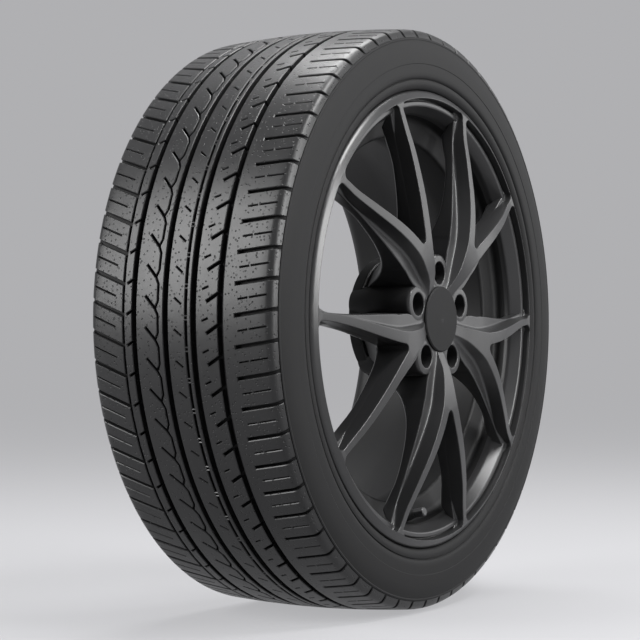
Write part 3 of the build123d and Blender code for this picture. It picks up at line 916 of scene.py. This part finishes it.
# %% Sections from the cap to the rim
stem_places = [(36.5, 6.0), (44.0, 6.3), (54.0, 7.3), (64.0, 9.0), (74.0, 10.9), (84.0, 13.0)]
fork_tip = Vector((crotch - 1.5, 0))
fork_places = [
    (fork_tip, Vector((1, 0)), Vector((91.0, 14.9)), Vector((-0.17, 0.985))),
    (fork_tip + Vector((0.8, 2.3)), Vector((0.8, -0.6)), Vector((94.0, 15.9)), Vector((-0.28, 0.96))),
]
fillet_shares = [0.0, 0.25, 0.5, 0.7, 0.85, 0.94, 1.0]
arm_places = [crotch, 104.0, 110.0, 118.0, 128.0, 140.0, 152.0, 164.0, 176.0, 188.0, 198.0, 208.0, 216.0]
arm_places += [band_inside - fillet * (1 - share) for share in fillet_shares]
arm_places += [band_inside + beyond for beyond in (1.6, 4.1, 6.6)]
sections = [stem_section(*place) for place in stem_places]
sections += [spoke_section(*place) for place in fork_places]
sections += [arm_section(radius) for radius in arm_places]
print(len(sections), "sections of half a spoke")

# %% [markdown]
# A flat grid is bent over the sections, one row for each. The half is trimmed to the round recess of the cap,
# mirrored to a whole Y and copied round. Bridging section loops one by one would give the same skin, but a
# grid has all its faces in order from the start.

# %% Spokes
spokes = 5
cap_recess_radius = 36.1
stem_root = 40.0


def bent_over(sections):
    """Grid bent over a list of closed sections, all with the same number of points."""
    rows, columns = len(sections), len(sections[0])
    bm = bmesh.new()
    spread = Matrix.Diagonal((rows - 1, columns, 1, 1)) @ Matrix.Translation((0.5, 0.5, 0))
    bmesh.ops.create_grid(bm, x_segments=rows - 1, y_segments=columns, size=0.5, matrix=spread)
    for vert in bm.verts:
        along, across, y = sections[round(vert.co.x)][round(vert.co.y) % columns]
        vert.co = Vector((along, y, across)) * MM
    bmesh.ops.remove_doubles(bm, verts=bm.verts, dist=WELD)
    return bm


spoke = bent_over(sections)
for vert in spoke.verts:
    if vert.co.x < stem_root * MM:
        vert.co.x = max(cap_recess_radius**2 * MM**2 - vert.co.z**2, 0) ** 0.5
middle_faces = [face for face in spoke.faces if all(abs(vert.co.z) < WELD for vert in face.verts)]
bmesh.ops.delete(spoke, geom=middle_faces, context="FACES")
bmesh.ops.mirror(spoke, geom=spoke.verts[:] + spoke.edges[:] + spoke.faces[:], axis="Z", merge_dist=WELD)
bmesh.ops.remove_doubles(spoke, verts=spoke.verts, dist=WELD)
bmesh.ops.holes_fill(spoke, edges=[edge for edge in spoke.edges if edge.is_boundary])
bmesh.ops.rotate(spoke, verts=spoke.verts, cent=(0, 0, 0), matrix=Matrix.Rotation(radians(90), 3, "Y"))
copied_round(spoke, spokes)
finish_piece(spoke, "wheel_spokes", wheel_paint, "wheel_paint", "alloy_wheel", even=True)

# %% [markdown]
# In the middle are the hub, which centres the wheel on the car, and five round bosses. Each boss holds a
# deep pocket for the bolt's head, a cone that the bolt seats on, and the bolt's hole. They are turned
# shapes too, the boss about its own axis.

# %% Hub and bolt bosses
hub_front = -76.0
bolt_circle = 50.0
bolt_angle = radians(306)
hub_outline = [(30.0, 0.0, 1.0), (28.55, -1.5, 0.5), (28.55, -25.0, 0.5), (30.0, -26.5, 0.5),
               (30.0, -75.0, 0.5), (35.8, -75.0, 0.3), (35.8, hub_front, 0.4), (37.4, hub_front, 0.6),
               (37.4, -14.0, 3.0), (66.0, -14.0, 3.0), (66.0, 0.0, 1.0)]
boss_outline = [(7.5, 0.0, 0.6), (7.5, -18.0, 0.4), (10.7, -23.5, 0.4), (12.25, -23.5, 0.8),
                (12.25, hub_front + 0.7, 0.4), (12.9, hub_front, 0.6), (20.3, hub_front + 0.1, 4.5),
                (21.5, hub_front + 22.0, 8.0), (20.5, -20.0, 6.0), (18.5, 0.0, 1.0)]
boss_centre = (bolt_circle * cos(bolt_angle), 0, bolt_circle * sin(bolt_angle))
hub = spun(rounded(hub_outline), 96)
bosses = spun(rounded(boss_outline), 48, boss_centre)
copied_round(bosses, spokes)
for name, turned in (("wheel_hub", hub), ("wheel_bolt_bosses", bosses)):
    finish_piece(turned, name, wheel_paint, "wheel_paint", "alloy_wheel", even=True)

# %% [markdown]
# The camera stands where the photographer stood: to the street side, level with the hub, a little over
# two metres away with a long lens. It is aimed at the middle of the wheel by turning its own axis, which
# needs no constraint, and a small shift of the lens sets the wheel where the picture has it.

# %% Camera
view_angle, view_rise = radians(-59.13), radians(-0.81)
view_distance = 2.306
sensor, lens, lens_shift = 36.0, 116.2, -0.0338
target = Vector((0, rim_middle * MM, 0))


def aimed(to_eye):
    """Turn that makes a camera or a lamp look back along a direction."""
    return (-to_eye).to_track_quat("-Z", "Y").to_euler()


to_camera = Vector((sin(view_angle) * cos(view_rise), -cos(view_angle) * cos(view_rise), sin(view_rise)))
camera_data = bpy.data.cameras.new("camera")
camera_data.sensor_width = sensor
camera_data.lens = lens
camera_data.shift_x = lens_shift
camera = bpy.data.objects.new("camera", camera_data)
camera.location = target + to_camera * view_distance
camera.rotation_euler = aimed(to_camera)
bpy.context.scene.collection.objects.link(camera)
bpy.context.scene.camera = camera
print("camera at", [round(value, 3) for value in camera.location])

# %% [markdown]
# The studio is a wide pale floor under a pale sky. Black rubber and dark paint look flat under bright walls,
# so the floor and the sky give little light and are made pale only for what the camera sees, also in a gloss
# or through glass. The Light Path node knows which rays those are.

# %% Pale only where it is seen
floor_tone = 0.15
pale = 0.42


def seen_rays(tree):
    """1 for rays that end in the picture, also by a gloss or through glass, and 0 for light on things."""
    rays = add_node(tree, "ShaderNodeLightPath")
    seen = rays.outputs["Is Camera Ray"]
    for kind in ("Is Glossy Ray", "Is Transmission Ray"):
        either = add_node(tree, "ShaderNodeMath", operation="MAXIMUM")
        join(tree, (seen, either.inputs[0]), (rays.outputs[kind], either.inputs[1]))
        seen = either.outputs[0]
    return seen


floor_paint, floor_shader = new_material("floor_paint", Base_Color=grey(floor_tone), Roughness=1.0,
                                         Specular_IOR_Level=0.0, Emission_Color=grey(1.0))
floor_tree = floor_paint.node_tree
lift = add_node(floor_tree, "ShaderNodeMath", operation="MULTIPLY")
lift.inputs[1].default_value = pale
join(floor_tree,
     (seen_rays(floor_tree), lift.inputs[0]),
     (lift.outputs[0], floor_shader.inputs["Emission Strength"]))
print("floor paint", floor_tone, "lifted by", pale)

# %% [markdown]
# The floor is one large face under the tyre. It is part of the studio and not of the object.

# %% Floor
floor_size = 60.0
bm = bmesh.new()
bmesh.ops.create_grid(bm, x_segments=1, y_segments=1, size=floor_size,
                      matrix=Matrix.Translation((0, 0, tyre_low.z)))
mesh = bpy.data.meshes.new("floor")
bm.to_mesh(mesh)
bm.free()
mesh.materials.append(floor_paint)
floor = bpy.data.objects.new("floor", mesh)
bpy.context.scene.collection.objects.link(floor)
print("floor at z", round(tyre_low.z, 4))

# %% [markdown]
# The sky shows the camera just the colour that the far floor has, so that there is no line between them. A
# backdrop would do it too, but it would stand in the way of the other views.

# %% Sky
sky = 0.09
world = bpy.data.worlds.new("studio")
world.use_nodes = True
sky_tree = world.node_tree
sky_light = sky_tree.nodes["Background"]
sky_light.inputs["Color"].default_value = grey(1.0)
sky_light.inputs["Strength"].default_value = sky
sky_seen = add_node(sky_tree, "ShaderNodeBackground", Color=grey(1.0), Strength=floor_tone * sky + pale)
sky_mix = add_node(sky_tree, "ShaderNodeMixShader")
join(sky_tree,
     (seen_rays(sky_tree), sky_mix.inputs["Fac"]),
     (sky_light.outputs["Background"], sky_mix.inputs[1]),
     (sky_seen.outputs["Background"], sky_mix.inputs[2]),
     (sky_mix.outputs["Shader"], sky_tree.nodes["World Output"].inputs["Surface"]))
bpy.context.scene.world = world
bpy.context.scene.view_settings.view_transform = "Standard"
print("sky gives", sky, "and shows", round(floor_tone * sky + pale, 4))

# %% [markdown]
# Black on black is lit by what it mirrors. Large soft panels stand where the tread, the shoulder and the
# wheel's face mirror them to the camera, a narrow one in front draws the edges of the spokes, and one above
# lights the upper sidewall. The camera doesn't see the panels themselves.

# %% Lamps
panels = [
    ("tread_panel", (-2.05, 1.3, 0.95), (1.2, 1.8), 80),
    ("shoulder_panel", (0.7, 0.25, 2.2), (1.6, 1.0), 60),
    ("face_panel", (1.9, -2.0, 0.85), (3.2, 1.7), 32),
    ("edge_panel", (0.0, -2.6, 0.9), (0.9, 1.6), 70),
    ("top_light", (0.1, -1.3, 1.9), (1.2, 0.7), 50),
]


def softbox(name, place, size, power):
    """Rectangular area light that looks at the wheel, with its size in metres and its power in watts."""
    data = bpy.data.lights.new(name, "AREA")
    data.shape = "RECTANGLE"
    data.size, data.size_y = size
    data.energy = power
    light = bpy.data.objects.new(name, data)
    light.location = place
    light.rotation_euler = aimed(Vector(place) - target)
    light.visible_camera = False
    bpy.context.scene.collection.objects.link(light)


for panel in panels:
    softbox(*panel)
print(len(panels), "lamps,", sum(panel[3] for panel in panels), "watts")
